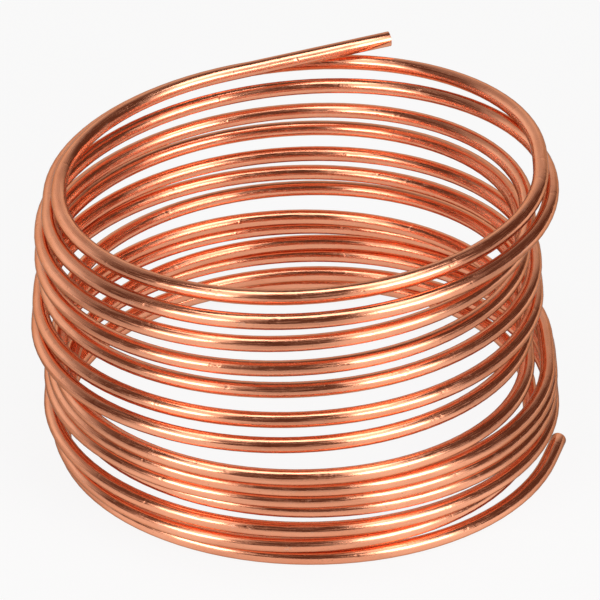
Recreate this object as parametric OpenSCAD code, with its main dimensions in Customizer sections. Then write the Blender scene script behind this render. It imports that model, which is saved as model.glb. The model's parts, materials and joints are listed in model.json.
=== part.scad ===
// Open coil of bare copper tube, wound by hand and stood on the floor.
// Each turn is two half rings of hollow tube, one round the front and one round the back, joined
// by short straight runs at the sides. Each half ring leans a little, which lets the coil climb.
// Origin: middle of the coil on the floor, +Z up. The front of the coil faces -Y.

/* [Tube] */
// Outside diameter of the tube
tube_od = 6.35; // [5:0.05:7]
// Wall thickness of the tube
tube_wall = 0.76; // [0.5:0.01:1.2]

/* [Coil] */
// Diameter of the coil between the middles of the tube
coil_d = 200; // [190:1:260]
// Length of the straight stretch at the upper end
top_end_len = 72; // [40:1:90]
// Length of the straight stretch at the lower end
low_end_len = 17; // [12:1:24]

/* [Hidden] */
ring_fn = 96;
tube_fn = 32;
coil_r = coil_d / 2;
tube_id = tube_od - 2 * tube_wall;

// The hand-wound shape, one row for each turn from the top down, in tube diameters: how far the
// turn stands out at its left, front, right and back, then its fall round the front and the back.
// The first row is the part turn that ends at the top, which has only its right and its back.
turns = [
  [ 0.00,  0.00, -1.60, -0.20,  0.00,  2.80],
  [-0.60,  0.25, -0.25,  1.25, -1.70,  2.85],
  [ 0.00,  0.75,  0.40, -0.70, -1.85,  3.00],
  [ 0.45,  1.40, -1.05,  0.05, -1.15,  3.05],
  [ 0.50,  0.90, -1.30,  1.75, -0.75,  2.55],
  [ 0.30,  0.30, -0.50,  0.30, -0.95,  2.30],
  [ 0.70,  1.10, -0.40,  0.25, -0.60,  1.65],
  [ 0.75,  2.30, -1.00,  1.75, -0.20,  1.75],
  [-0.60,  3.85, -1.00,  0.65,  0.25,  1.15],
  [-0.20,  2.10,  0.45,  0.60,  0.10,  1.00],
  [ 0.05,  1.50,  0.65,  0.95,  0.05,  1.20],
  [-1.05,  1.30,  0.70,  0.55, -0.15,  1.35],
  [ 0.15,  0.85,  0.85,  0.60,  0.10,  1.20],
  [-0.40,  1.60, -0.45,  2.05, -0.10,  1.15],
  [-0.55,  0.55,  1.20,  0.00,  0.00,  0.00]
];
function left(turn) = turn[0];
function front(turn) = turn[1];
function right(turn) = turn[2];
function back(turn) = turn[3];
function fall_front(turn) = turn[4];
function fall_back(turn) = turn[5];
half_count = 2 * (len(turns) - 1);
last = half_count - 1;

// Half rings are counted from the top: 0 is the back half that starts at the upper end, odd ones
// go round the front from left to right and even ones round the back from right to left
function is_front(k) = k % 2 == 1;
function way(k) = is_front(k) ? 1 : -1;
function turn_of(k) = turns[floor((k + 1) / 2)];
function at_side(k) = is_front(k) ? left(turn_of(k)) : right(turn_of(k));
function across(k) = is_front(k) ? front(turn_of(k)) : back(turn_of(k));
function drop(k) = is_front(k) ? fall_front(turn_of(k)) : fall_back(turn_of(k));
function side_x(k) = -way(k) * (coil_r + tube_od * at_side(k));
function plane_y(k) = -way(k) * tube_od * across(k);
function fall(k) = tube_od * drop(k);
function width(k) = abs(side_x(k + 1) - side_x(k));

// Radii and leans are kept to whole parts of a small step, so that neighbouring ends meet exactly
function to_step(v, step) = round(v / step) * step;
ring_r = [for (k = [0:last]) to_step(norm([width(k), fall(k)]) / 2, 0.001)];
lean_cos = [for (k = [0:last]) to_step(sqrt(1 - pow(fall(k) / 2 / ring_r[k], 2)), 1e-6)];
lean_sin = [for (k = [0:last])
  sign(fall(k)) * to_step(sqrt(1 - lean_cos[k] * lean_cos[k]), 1e-7)];

// Where half ring k starts: its x, and its height, which is counted up from the floor
function start_x(k) = k == 0 ? side_x(0)
  : start_x(k - 1) + way(k - 1) * 2 * ring_r[k - 1] * lean_cos[k - 1];
function start_z(k) = k == half_count ? tube_od / 2
  : start_z(k + 1) + 2 * ring_r[k] * lean_sin[k];

// The coil's reach to each side, which sets the middle of the coil over the origin. Both straight
// ends stand out, so they are measured too
end_turn = 16.2602;
front_rings = [1:2:last];
back_rings = [2:2:last];
low_end_x = start_x(last) + ring_r[last] + 0.96 * (ring_r[last] + tube_od / 2) + 0.28 * low_end_len;
top_end_y = plane_y(0) + 0.96 * (ring_r[0] + tube_od / 2) + 0.28 * top_end_len;
left_reach = min([for (k = front_rings) start_x(k)]) - tube_od / 2;
right_reach = max(low_end_x, max([for (k = back_rings) start_x(k)]) + tube_od / 2);
front_reach = min([for (k = front_rings) plane_y(k) - ring_r[k]]) - tube_od / 2;
back_reach = max(top_end_y, max([for (k = back_rings) plane_y(k) + ring_r[k]]) + tube_od / 2);
middle_x = to_step((left_reach + right_reach) / 2, 0.01);
middle_y = to_step((front_reach + back_reach) / 2, 0.01);
middle = [middle_x, middle_y, 0];

// Moves in two steps, so that a place keeps all of its decimals
module put(p) {
  near = [for (v = p) to_step(v, 0.01)];
  translate(near)
    translate(p - near)
      children();
}

module tube_section() {
  difference() {
    circle(d = tube_od, $fn = tube_fn);
    circle(d = tube_id, $fn = tube_fn);
  }
}

// A straight stretch along z. The small turn keeps its seam off the seams of the rings it meets
module straight(length) {
  linear_extrude(length)
    rotate(36.8699)
      tube_section();
}

// Sets the frame of half ring k: origin at the ring's middle, x along its lean
module ring_frame(k) {
  c = lean_cos[k];
  s = way(k) * lean_sin[k];
  put([start_x(k), plane_y(k), start_z(k)])
    multmatrix([[c, 0, s, 0], [0, 1, 0, 0], [-s, 0, c, 0], [0, 0, 0, 1]])
      translate([way(k) * ring_r[k], 0, 0])
        children();
}

module half_ring(k) {
  ring_frame(k)
    rotate([0, 0, is_front(k) ? 180 : 0])
      rotate_extrude(angle = 180, $fn = ring_fn)
        translate([ring_r[k], 0])
          rotate(is_front(k) ? 0 : 90)
            tube_section();
}

// The run at the side between half ring k - 1 and half ring k
module side_run(k) {
  low_y = min(plane_y(k - 1), plane_y(k));
  high_y = max(plane_y(k - 1), plane_y(k));
  put([start_x(k), high_y, start_z(k)])
    rotate([90, 0, 0])
      straight(high_y - low_y);
}

// The tube's two ends, where a ring is cut short and runs straight on. The cuts are turned by the
// angle with sine 0.28 and cosine 0.96, round numbers that keep the faces on both sides of it equal
module upper_end() {
  difference() {
    half_ring(0);
    ring_frame(0)
      rotate(end_turn)
        translate([0, -coil_d, -tube_od])
          cube([coil_d, 2 * coil_d, 2 * tube_od]);
  }
  ring_frame(0)
    rotate(end_turn)
      translate([0, ring_r[0], 0])
        rotate([0, 90, 0])
          straight(top_end_len);
}

module lower_end() {
  difference() {
    half_ring(last);
    ring_frame(last)
      rotate(-end_turn)
        translate([0, 0, -tube_od])
          cube([coil_d, coil_d, 2 * tube_od]);
  }
  ring_frame(last)
    rotate(-end_turn)
      translate([ring_r[last], 0, 0])
        rotate([-90, 0, 0])
          straight(low_end_len);
}

module copper_tube() {
  color("peru")
    translate(-middle) {
      upper_end();
      for (k = [1:last - 1]) half_ring(k);
      for (k = [1:last]) side_run(k);
      lower_end();
    }
}

copper_tube();
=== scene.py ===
import json
import math

import bmesh
import bpy
from mathutils import Matrix, Vector

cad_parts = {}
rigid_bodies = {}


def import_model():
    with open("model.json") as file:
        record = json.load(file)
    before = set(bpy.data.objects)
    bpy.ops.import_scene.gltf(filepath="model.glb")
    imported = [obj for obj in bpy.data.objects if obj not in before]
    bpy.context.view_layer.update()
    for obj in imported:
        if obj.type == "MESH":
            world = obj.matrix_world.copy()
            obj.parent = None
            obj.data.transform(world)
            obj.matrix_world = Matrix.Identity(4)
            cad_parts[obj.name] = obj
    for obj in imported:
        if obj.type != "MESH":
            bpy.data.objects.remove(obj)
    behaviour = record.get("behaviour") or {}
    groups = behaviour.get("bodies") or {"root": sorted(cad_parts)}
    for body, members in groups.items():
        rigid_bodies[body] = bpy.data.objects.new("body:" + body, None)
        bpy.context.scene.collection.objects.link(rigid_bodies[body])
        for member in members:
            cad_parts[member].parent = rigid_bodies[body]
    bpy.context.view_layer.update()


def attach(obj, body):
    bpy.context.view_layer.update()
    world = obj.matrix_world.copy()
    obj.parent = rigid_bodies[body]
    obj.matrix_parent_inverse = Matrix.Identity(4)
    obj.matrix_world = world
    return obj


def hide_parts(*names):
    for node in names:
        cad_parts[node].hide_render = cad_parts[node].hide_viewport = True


bpy.ops.object.select_all(action="SELECT")
bpy.ops.object.delete()
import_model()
bpy.ops.object.select_all(action="DESELECT")

# The copper tube, one length from end to end.
# Soft-drawn copper water tube, 1/4 inch outside with a 0.76 mm wall, pulled off its roll and wound
# by hand into an open coil of fourteen turns. Nothing holds it: it keeps the bends it was given.
mm = 0.001
tube_r = 3.175
bore_r = 2.415
coil_r = 100.0
upper_straight = 72.0
lower_straight = 17.0
end_turn = math.radians(16.2602)
middle = Vector((1.70, -4.73, 0.0))
section_sides = 32
steps_in_half_ring = 48

# How far each turn stands out at its left, front, right and back, then its fall round the front and
# round the back, in tube diameters. The first row is the part turn that ends at the top.
left, front, right, back, fall_in_front, fall_behind = range(6)
turns = [
    (0.00, 0.00, -1.60, -0.20, 0.00, 2.80),
    (-0.60, 0.25, -0.25, 1.25, -1.70, 2.85),
    (0.00, 0.75, 0.40, -0.70, -1.85, 3.00),
    (0.45, 1.40, -1.05, 0.05, -1.15, 3.05),
    (0.50, 0.90, -1.30, 1.75, -0.75, 2.55),
    (0.30, 0.30, -0.50, 0.30, -0.95, 2.30),
    (0.70, 1.10, -0.40, 0.25, -0.60, 1.65),
    (0.75, 2.30, -1.00, 1.75, -0.20, 1.75),
    (-0.60, 3.85, -1.00, 0.65, 0.25, 1.15),
    (-0.20, 2.10, 0.45, 0.60, 0.10, 1.00),
    (0.05, 1.50, 0.65, 0.95, 0.05, 1.20),
    (-1.05, 1.30, 0.70, 0.55, -0.15, 1.35),
    (0.15, 0.85, 0.85, 0.60, 0.10, 1.20),
    (-0.40, 1.60, -0.45, 2.05, -0.10, 1.15),
    (-0.55, 0.55, 1.20, 0.00, 0.00, 0.00),
]
half_rings = 2 * (len(turns) - 1)
last_half = half_rings - 1


# Half rings are counted from the top. Odd ones go round the front from left to right, and even
# ones round the back from right to left.
def round_front(half):
    return half % 2 == 1


def way(half):
    return 1 if round_front(half) else -1


def in_diameters(half, if_front, if_back):
    return 2 * tube_r * turns[(half + 1) // 2][if_front if round_front(half) else if_back]


def side_x(half):
    return -way(half) * (coil_r + in_diameters(half, left, right))


def plane_y(half):
    return -way(half) * in_diameters(half, front, back)


def fall(half):
    return in_diameters(half, fall_in_front, fall_behind)


# Each half ring lies in a plane that leans along x, so the tube climbs as it goes round
ring_r = []
lean = []
for half in range(half_rings):
    span = abs(side_x(half + 1) - side_x(half))
    ring_r.append(math.hypot(span, fall(half)) / 2)
    lean.append(math.atan2(fall(half), span))
start_z = [tube_r] * (half_rings + 1)
for half in reversed(range(half_rings)):
    start_z[half] = start_z[half + 1] + fall(half)


def ring_axes(half):
    across = Vector((math.cos(lean[half]), 0.0, -way(half) * math.sin(lean[half])))
    up = Vector((way(half) * math.sin(lean[half]), 0.0, math.cos(lean[half])))
    return across, up


def ring_centre(half):
    across, up = ring_axes(half)
    start = Vector((side_x(half), plane_y(half), start_z[half]))
    return start + across * way(half) * ring_r[half] - middle


# The tube starts as two circles, its outside and its bore, square to the straight upper end. Each
# point keeps its place in the section and its way along the tube, which the drawn finish follows.
to_back = Vector((0.0, 1.0, 0.0))
across, up = ring_axes(0)
ahead = to_back * math.sin(end_turn) + across * math.cos(end_turn)
outward = up.cross(ahead)
upper_tip = (ring_centre(0) + outward * ring_r[0] + ahead * upper_straight) * mm
bpy.ops.mesh.primitive_circle_add(vertices=section_sides, radius=tube_r * mm, fill_type="NOTHING")
first_length = bpy.context.object
bpy.ops.object.mode_set(mode="EDIT")
bpy.ops.mesh.primitive_circle_add(vertices=section_sides, radius=bore_r * mm, fill_type="NOTHING")
bpy.ops.object.mode_set(mode="OBJECT")
place = first_length.data.attributes.new("place_on_tube", "FLOAT_VECTOR", "POINT")
for point in first_length.data.vertices:
    place.data[point.index].vector = point.co
square_to_end = Matrix((outward, up, ahead)).transposed().to_4x4()
first_length.matrix_world = Matrix.Translation(upper_tip) @ square_to_end
bpy.ops.object.transform_apply(location=True, rotation=True, scale=True)

# It is pushed and bent on from there, one straight or half ring at a time. Each is worked in an
# object of its own, from a copy of the last one's end, because that is much quicker.
lengths = [first_length]
starts_at = [0.0]
points_in_section = 2 * section_sides


def mark_way_along(total, parts):
    bpy.ops.object.mode_set(mode="OBJECT")
    fresh = lengths[-1].data
    along = fresh.attributes["place_on_tube"].data
    for index in range(len(fresh.vertices)):
        gone = total * (index // points_in_section) / parts
        along[index].vector[2] = (starts_at[-1] + gone) * mm
    starts_at.append(starts_at[-1] + total)
    bpy.ops.object.mode_set(mode="EDIT")


def next_length():
    bpy.ops.mesh.duplicate()
    bpy.ops.mesh.separate(type="SELECTED")
    bpy.ops.object.mode_set(mode="OBJECT")
    fresh = [one for one in bpy.context.selected_objects if one not in lengths][0]
    bpy.ops.object.select_all(action="DESELECT")
    bpy.context.view_layer.objects.active = fresh
    fresh.select_set(True)
    lengths.append(fresh)
    bpy.ops.object.mode_set(mode="EDIT")
    bpy.ops.mesh.select_all(action="SELECT")


def push_straight(move, parts):
    for part in range(parts):
        bpy.ops.mesh.extrude_edges_move(
            TRANSFORM_OT_translate={"value": tuple(move * mm / parts)})
    mark_way_along(move.length, parts)
    next_length()


def bend_round(half, angle):
    across, up = ring_axes(half)
    parts = round(steps_in_half_ring * angle / math.pi)
    bpy.ops.mesh.spin(steps=parts, angle=-angle, center=ring_centre(half) * mm, axis=up)
    mark_way_along(ring_r[half] * angle, parts)
    next_length()


bpy.ops.object.mode_set(mode="EDIT")
bpy.ops.mesh.select_all(action="SELECT")
push_straight(-ahead * upper_straight, parts=4)
bend_round(0, math.pi / 2 - end_turn)
for half in range(1, half_rings):
    push_straight(to_back * (plane_y(half) - plane_y(half - 1)), parts=1)
    bend_round(half, math.pi if half < last_half else math.pi - end_turn)
across, up = ring_axes(last_half)
onward = to_back * math.cos(end_turn) + across * math.sin(end_turn)
push_straight(onward * lower_straight, parts=2)

# What is left in hand is a bare copy of the lower end, which marks where the tube stops. The rest is
# joined and welded where one length meets the next.
bpy.ops.object.mode_set(mode="OBJECT")
spare_end = lengths.pop()
lower_tip = sum((point.co for point in spare_end.data.vertices), Vector()) / points_in_section
bpy.data.objects.remove(spare_end)
for one in lengths:
    one.select_set(True)
bpy.context.view_layer.objects.active = first_length
bpy.ops.object.join()
tube = bpy.context.object
tube.name = "wound_tube"
weld_reach = 0.0005
bpy.ops.object.mode_set(mode="EDIT")
bpy.ops.mesh.select_all(action="SELECT")
bpy.ops.mesh.remove_doubles(threshold=weld_reach * mm)

# Each cut end gets its flat rim: the open outer edge is drawn in to the bore and welded to it. Then
# the sharp edges of each rim are just broken.
tips = (upper_tip, lower_tip)
draw_in = bore_r / tube_r
slack = 0.1
sharp = math.radians(60)
rim_break = 0.12


def tube_radii_off(point, tip):
    return (point.co - tip).length / (tube_r * mm)


bpy.ops.mesh.select_mode(type="EDGE")
for tip in tips:
    bpy.ops.mesh.select_all(action="DESELECT")
    in_hand = bmesh.from_edit_mesh(tube.data)
    for edge in in_hand.edges:
        on_outside = all(abs(tube_radii_off(point, tip) - 1.0) < slack for point in edge.verts)
        edge.select_set(on_outside and edge.is_boundary)
    bmesh.update_edit_mesh(tube.data)
    bpy.ops.mesh.extrude_edges_move()
    bpy.ops.transform.resize(value=(draw_in, draw_in, draw_in), center_override=tuple(tip))
bpy.ops.mesh.select_all(action="SELECT")
bpy.ops.mesh.remove_doubles(threshold=weld_reach * mm)
bpy.ops.mesh.normals_make_consistent(inside=False)
bpy.ops.mesh.select_all(action="DESELECT")
in_hand = bmesh.from_edit_mesh(tube.data)
for edge in in_hand.edges:
    at_rim = any(tube_radii_off(edge.verts[0], tip) < 1.0 + slack for tip in tips)
    if at_rim and edge.calc_face_angle() > sharp:
        edge.select_set(True)
bmesh.update_edit_mesh(tube.data)
bpy.ops.mesh.bevel(offset=rim_break * mm, segments=2, affect="EDGES")
bpy.ops.object.mode_set(mode="OBJECT")
bpy.ops.object.shade_smooth_by_angle(angle=math.radians(50))

# Bare copper with the drawn finish it leaves the die with: bright, with fine lines along its
# length, and then darker and redder patches, small pits and rubbed places from being handled.
bright_copper = (0.96, 0.42, 0.25)
red_copper = (0.89, 0.36, 0.205)
rubbed_copper = (0.84, 0.45, 0.31)
pit_copper = (0.40, 0.13, 0.06)
edge_tint = (0.38, 0.32, 0.28, 1.0)
copper = bpy.data.materials.new("bare_copper")
copper.use_nodes = True
nodes = copper.node_tree.nodes
links = copper.node_tree.links
metal = nodes["Principled BSDF"]
metal.inputs["Metallic"].default_value = 1.0
metal.inputs["Specular Tint"].default_value = edge_tint

tube_place = nodes.new("ShaderNodeAttribute")
tube_place.attribute_name = "place_on_tube"
on_tube = tube_place.outputs["Vector"]
on_object = nodes.new("ShaderNodeTexCoord").outputs["Object"]


# Places on the tube, for a pattern that is drawn out along it: the smaller the number, the longer
def drawn_out(along):
    mapping = nodes.new("ShaderNodeMapping")
    mapping.inputs["Scale"].default_value = (1.0, 1.0, along)
    links.new(on_tube, mapping.inputs["Vector"])
    return mapping.outputs["Vector"]


def noise(source, scale, detail, roughness):
    pattern = nodes.new("ShaderNodeTexNoise")
    pattern.inputs["Scale"].default_value = scale
    pattern.inputs["Detail"].default_value = detail
    pattern.inputs["Roughness"].default_value = roughness
    links.new(source, pattern.inputs["Vector"])
    return pattern.outputs["Fac"]


def between(value, low, high, out_low=0.0, out_high=1.0):
    spread = nodes.new("ShaderNodeMapRange")
    for name, number in (("From Min", low), ("From Max", high),
                         ("To Min", out_low), ("To Max", out_high)):
        spread.inputs[name].default_value = number
    links.new(value, spread.inputs["Value"])
    return spread.outputs["Result"]


def blend_colour(amount, first, second):
    mixed = nodes.new("ShaderNodeMix")
    mixed.data_type = "RGBA"
    links.new(amount, mixed.inputs["Factor"])
    for socket, colour in ((mixed.inputs["A"], first), (mixed.inputs["B"], second)):
        if isinstance(colour, tuple):
            socket.default_value = (*colour, 1.0)
        else:
            links.new(colour, socket)
    return mixed.outputs["Result"]


def reckon(first, how, second):
    reckoned = nodes.new("ShaderNodeMath")
    reckoned.operation = how
    for socket, value in ((reckoned.inputs[0], first), (reckoned.inputs[1], second)):
        if isinstance(value, float):
            socket.default_value = value
        else:
            links.new(value, socket)
    return reckoned.outputs[0]


def raised(height, depth, onto=None):
    bump = nodes.new("ShaderNodeBump")
    bump.inputs["Distance"].default_value = depth * mm
    links.new(height, bump.inputs["Height"])
    if onto is not None:
        links.new(onto, bump.inputs["Normal"])
    return bump.outputs["Normal"]


drawn_lines = noise(drawn_out(0.03), 2600.0, 3.0, 0.55)
coarse_lines = noise(drawn_out(0.02), 900.0, 2.0, 0.55)
patches = noise(drawn_out(0.35), 130.0, 5.0, 0.6)
rubs = noise(drawn_out(0.5), 420.0, 6.0, 0.7)
specks = noise(on_object, 1500.0, 2.0, 0.5)
bends = noise(on_object, 34.0, 2.0, 0.5)
dings = noise(on_object, 190.0, 2.0, 0.4)

colour = blend_colour(between(patches, 0.42, 0.68), bright_copper, red_copper)
colour = blend_colour(between(rubs, 0.60, 0.72), colour, rubbed_copper)
colour = blend_colour(between(specks, 0.70, 0.76), colour, pit_copper)
links.new(colour, metal.inputs["Base Color"])

drawn_roughness = between(drawn_lines, 0.42, 0.62, 0.13, 0.30)
rubbed_roughness = between(rubs, 0.55, 0.75, 0.0, 0.14)
links.new(reckon(drawn_roughness, "ADD", rubbed_roughness), metal.inputs["Roughness"])

bend_depth = 0.4
ding_depth = 0.05
coarse_line_depth = 0.003
drawn_line_depth = 0.002
relief = raised(bends, bend_depth)
relief = raised(between(dings, 0.25, 0.36), ding_depth, relief)
relief = raised(coarse_lines, coarse_line_depth, relief)
relief = raised(drawn_lines, drawn_line_depth, relief)
links.new(relief, metal.inputs["Normal"])
tube.data.materials.append(copper)

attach(tube, "root")
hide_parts("copper_tube")

# The floor, a plain pale sheet that the coil stands on.
# The camera sees it as white, with the coil's soft shadow on it. The copper mirrors it as white
# behind the coil, as painted pools of light below the two soft boxes in front, as a paler painted
# pool of light close by, and as grey elsewhere.
floor_grey = (0.60, 0.60, 0.60, 1.0)
white_to_camera = 0.90
white_to_metal = 0.95
bpy.ops.mesh.primitive_plane_add(size=14.0, location=(0.0, 0.0, 0.0))
floor = bpy.context.object
floor.name = "floor"
floor_paint = bpy.data.materials.new("white_floor")
floor_paint.use_nodes = True
nodes = floor_paint.node_tree.nodes
links = floor_paint.node_tree.links
paint = nodes["Principled BSDF"]
paint.inputs["Base Color"].default_value = floor_grey
paint.inputs["Roughness"].default_value = 0.9
paint.inputs["Specular IOR Level"].default_value = 0.0


def times(first, second):
    return reckon(first, "MULTIPLY", second)


def larger(first, second):
    return reckon(first, "MAXIMUM", second)


def fades(value, start, end, low, high):
    fade = nodes.new("ShaderNodeMapRange")
    fade.interpolation_type = "SMOOTHSTEP"
    for name, number in (("From Min", start), ("From Max", end), ("To Min", low), ("To Max", high)):
        fade.inputs[name].default_value = number
    links.new(value, fade.inputs["Value"])
    return fade.outputs["Result"]


def band(value, rise_from, rise_to, fall_from, fall_to):
    return times(fades(value, rise_from, rise_to, 0.0, 1.0),
                 fades(value, fall_from, fall_to, 1.0, 0.0))


# How far round the coil a place is, in radians to the right of its front
def round_coil(x, y):
    return reckon(x, "ARCTAN2", times(y, -1.0))


# How white a place looks: the same all over to the camera, and by its place to metal and glass
def looks_white(by_place, to_camera):
    seen = nodes.new("ShaderNodeLightPath")
    by_metal = larger(seen.outputs["Is Glossy Ray"], seen.outputs["Is Transmission Ray"])
    by_camera = times(seen.outputs["Is Camera Ray"], to_camera)
    return larger(by_camera, times(by_metal, by_place))


on_floor = nodes.new("ShaderNodeTexCoord").outputs["Object"]
spot = nodes.new("ShaderNodeSeparateXYZ")
links.new(on_floor, spot.inputs["Vector"])
from_middle = nodes.new("ShaderNodeVectorMath")
from_middle.operation = "LENGTH"
links.new(on_floor, from_middle.inputs[0])
floor_turn = round_coil(spot.outputs["X"], spot.outputs["Y"])
# Painted pools of light on the floor, seen only by the copper: one below each soft box in front
painted_light_below_right_box = band(floor_turn, 0.15, 0.45, 1.00, 1.30)
painted_light_below_left_box = times(band(floor_turn, -1.15, -0.85, -0.45, -0.15), 0.90)
painted_light_below_boxes = reckon(painted_light_below_right_box, "ADD", painted_light_below_left_box)
behind = fades(spot.outputs["Y"], 0.02, 0.16, 0.0, 1.0)
# A paler painted pool of light on the floor close round the coil, seen only by the copper; behind
# the coil the floor is white as the backdrop
painted_light_close_by = fades(from_middle.outputs["Value"], 0.10, 0.30, 0.60, 0.0)
backdrop_and_painted_light = larger(larger(painted_light_below_boxes, behind), painted_light_close_by)
white = nodes.new("ShaderNodeEmission")
white.inputs["Color"].default_value = (1.0, 1.0, 1.0, 1.0)
white.inputs["Strength"].default_value = 1.0
shown = nodes.new("ShaderNodeMixShader")
whiteness = looks_white(times(backdrop_and_painted_light, white_to_metal), white_to_camera)
links.new(whiteness, shown.inputs["Fac"])
links.new(paint.outputs["BSDF"], shown.inputs[1])
links.new(white.outputs["Emission"], shown.inputs[2])
links.new(shown.outputs["Shader"], nodes["Material Output"].inputs["Surface"])
floor.data.materials.append(floor_paint)

# The room, with warm, dim walls and a white backdrop behind the coil, a little to its left.
# The walls glow above the floor on either side in front, round the two soft boxes. The camera sees
# the whole room as white.
wall_colour = (0.11, 0.06, 0.045, 1.0)
right_glow = 1.7
left_glow = 1.4
to_backdrop = (-0.40, 0.92, 0.0)
room = bpy.data.worlds.new("studio")
bpy.context.scene.world = room
room.use_nodes = True
nodes = room.node_tree.nodes
links = room.node_tree.links
direction = nodes.new("ShaderNodeTexCoord").outputs["Generated"]
toward = nodes.new("ShaderNodeSeparateXYZ")
links.new(direction, toward.inputs["Vector"])
room_turn = round_coil(toward.outputs["X"], toward.outputs["Y"])
above_floor = fades(toward.outputs["Z"], -0.45, -0.05, 0.0, 1.0)
by_right_box = times(band(room_turn, 0.40, 0.64, 1.05, 1.36), above_floor)
by_left_box = times(band(room_turn, -1.20, -0.96, -0.68, -0.48), above_floor)
glow = reckon(times(by_right_box, right_glow), "ADD", times(by_left_box, left_glow))
walls = nodes.new("ShaderNodeMix")
walls.data_type = "RGBA"
walls.blend_type = "ADD"
walls.inputs["Factor"].default_value = 1.0
walls.inputs["A"].default_value = wall_colour
links.new(glow, walls.inputs["B"])
facing_backdrop = nodes.new("ShaderNodeVectorMath")
facing_backdrop.operation = "DOT_PRODUCT"
facing_backdrop.inputs[1].default_value = to_backdrop
links.new(direction, facing_backdrop.inputs[0])
backdrop = times(fades(facing_backdrop.outputs["Value"], 0.40, 0.80, 0.0, 1.0),
                 fades(toward.outputs["Z"], 0.25, 0.65, 1.0, 0.35))
lit = blend_colour(looks_white(backdrop, 1.0), walls.outputs["Result"], (1.0, 1.0, 1.0))
links.new(lit, nodes["Background"].inputs["Color"])
nodes["Background"].inputs["Strength"].default_value = 1.0

# The soft boxes, one on either side in front and a long one overhead, all aimed at the coil.
# Each is given by its name, where it stands, its width and height, and its power.
aimed_at = Vector((0.0, 0.0, 0.06))
soft_boxes = [
    ("left_soft_box", (-1.00, -1.00, 0.50), 0.62, 0.42, 4.6),
    ("right_soft_box", (1.00, -1.00, 0.60), 0.82, 0.52, 7.4),
    ("top_soft_box", (0.0, -0.15, 1.50), 1.50, 0.60, 8.0),
]
for name, stands, width, height, power in soft_boxes:
    bpy.ops.object.light_add(type="AREA", location=stands)
    box = bpy.context.object
    box.name = name
    box.data.shape = "RECTANGLE"
    box.data.size = width
    box.data.size_y = height
    box.data.energy = power
    box.rotation_euler = (aimed_at - box.location).to_track_quat("-Z", "Y").to_euler()

# The camera stands in front of the coil and looks down on it, as far off as the photograph's was.
# The point it looks at is a little to the left of the frame's middle, which the shift sees to.
far_off = 1.9746
looks_down = math.radians(29.62)
look_at = Vector((-6.0, 0.0, 60.0)) - middle
frame_pixels = 600.0
focal_pixels = 4818.5
look_at_column = 281.69
look_at_row = 300.74
sensor_width = 36.0
stands_at = look_at * mm + far_off * Vector((0.0, -math.cos(looks_down), math.sin(looks_down)))
bpy.ops.object.camera_add(location=stands_at, rotation=(math.pi / 2 - looks_down, 0.0, 0.0))
camera = bpy.context.object
camera.name = "camera"
camera.data.sensor_width = sensor_width
camera.data.lens = focal_pixels * sensor_width / frame_pixels
camera.data.shift_x = (frame_pixels / 2 - look_at_column) / frame_pixels
camera.data.shift_y = (look_at_row - frame_pixels / 2) / frame_pixels
bpy.context.scene.camera = camera
bpy.context.scene.view_settings.view_transform = "Standard"
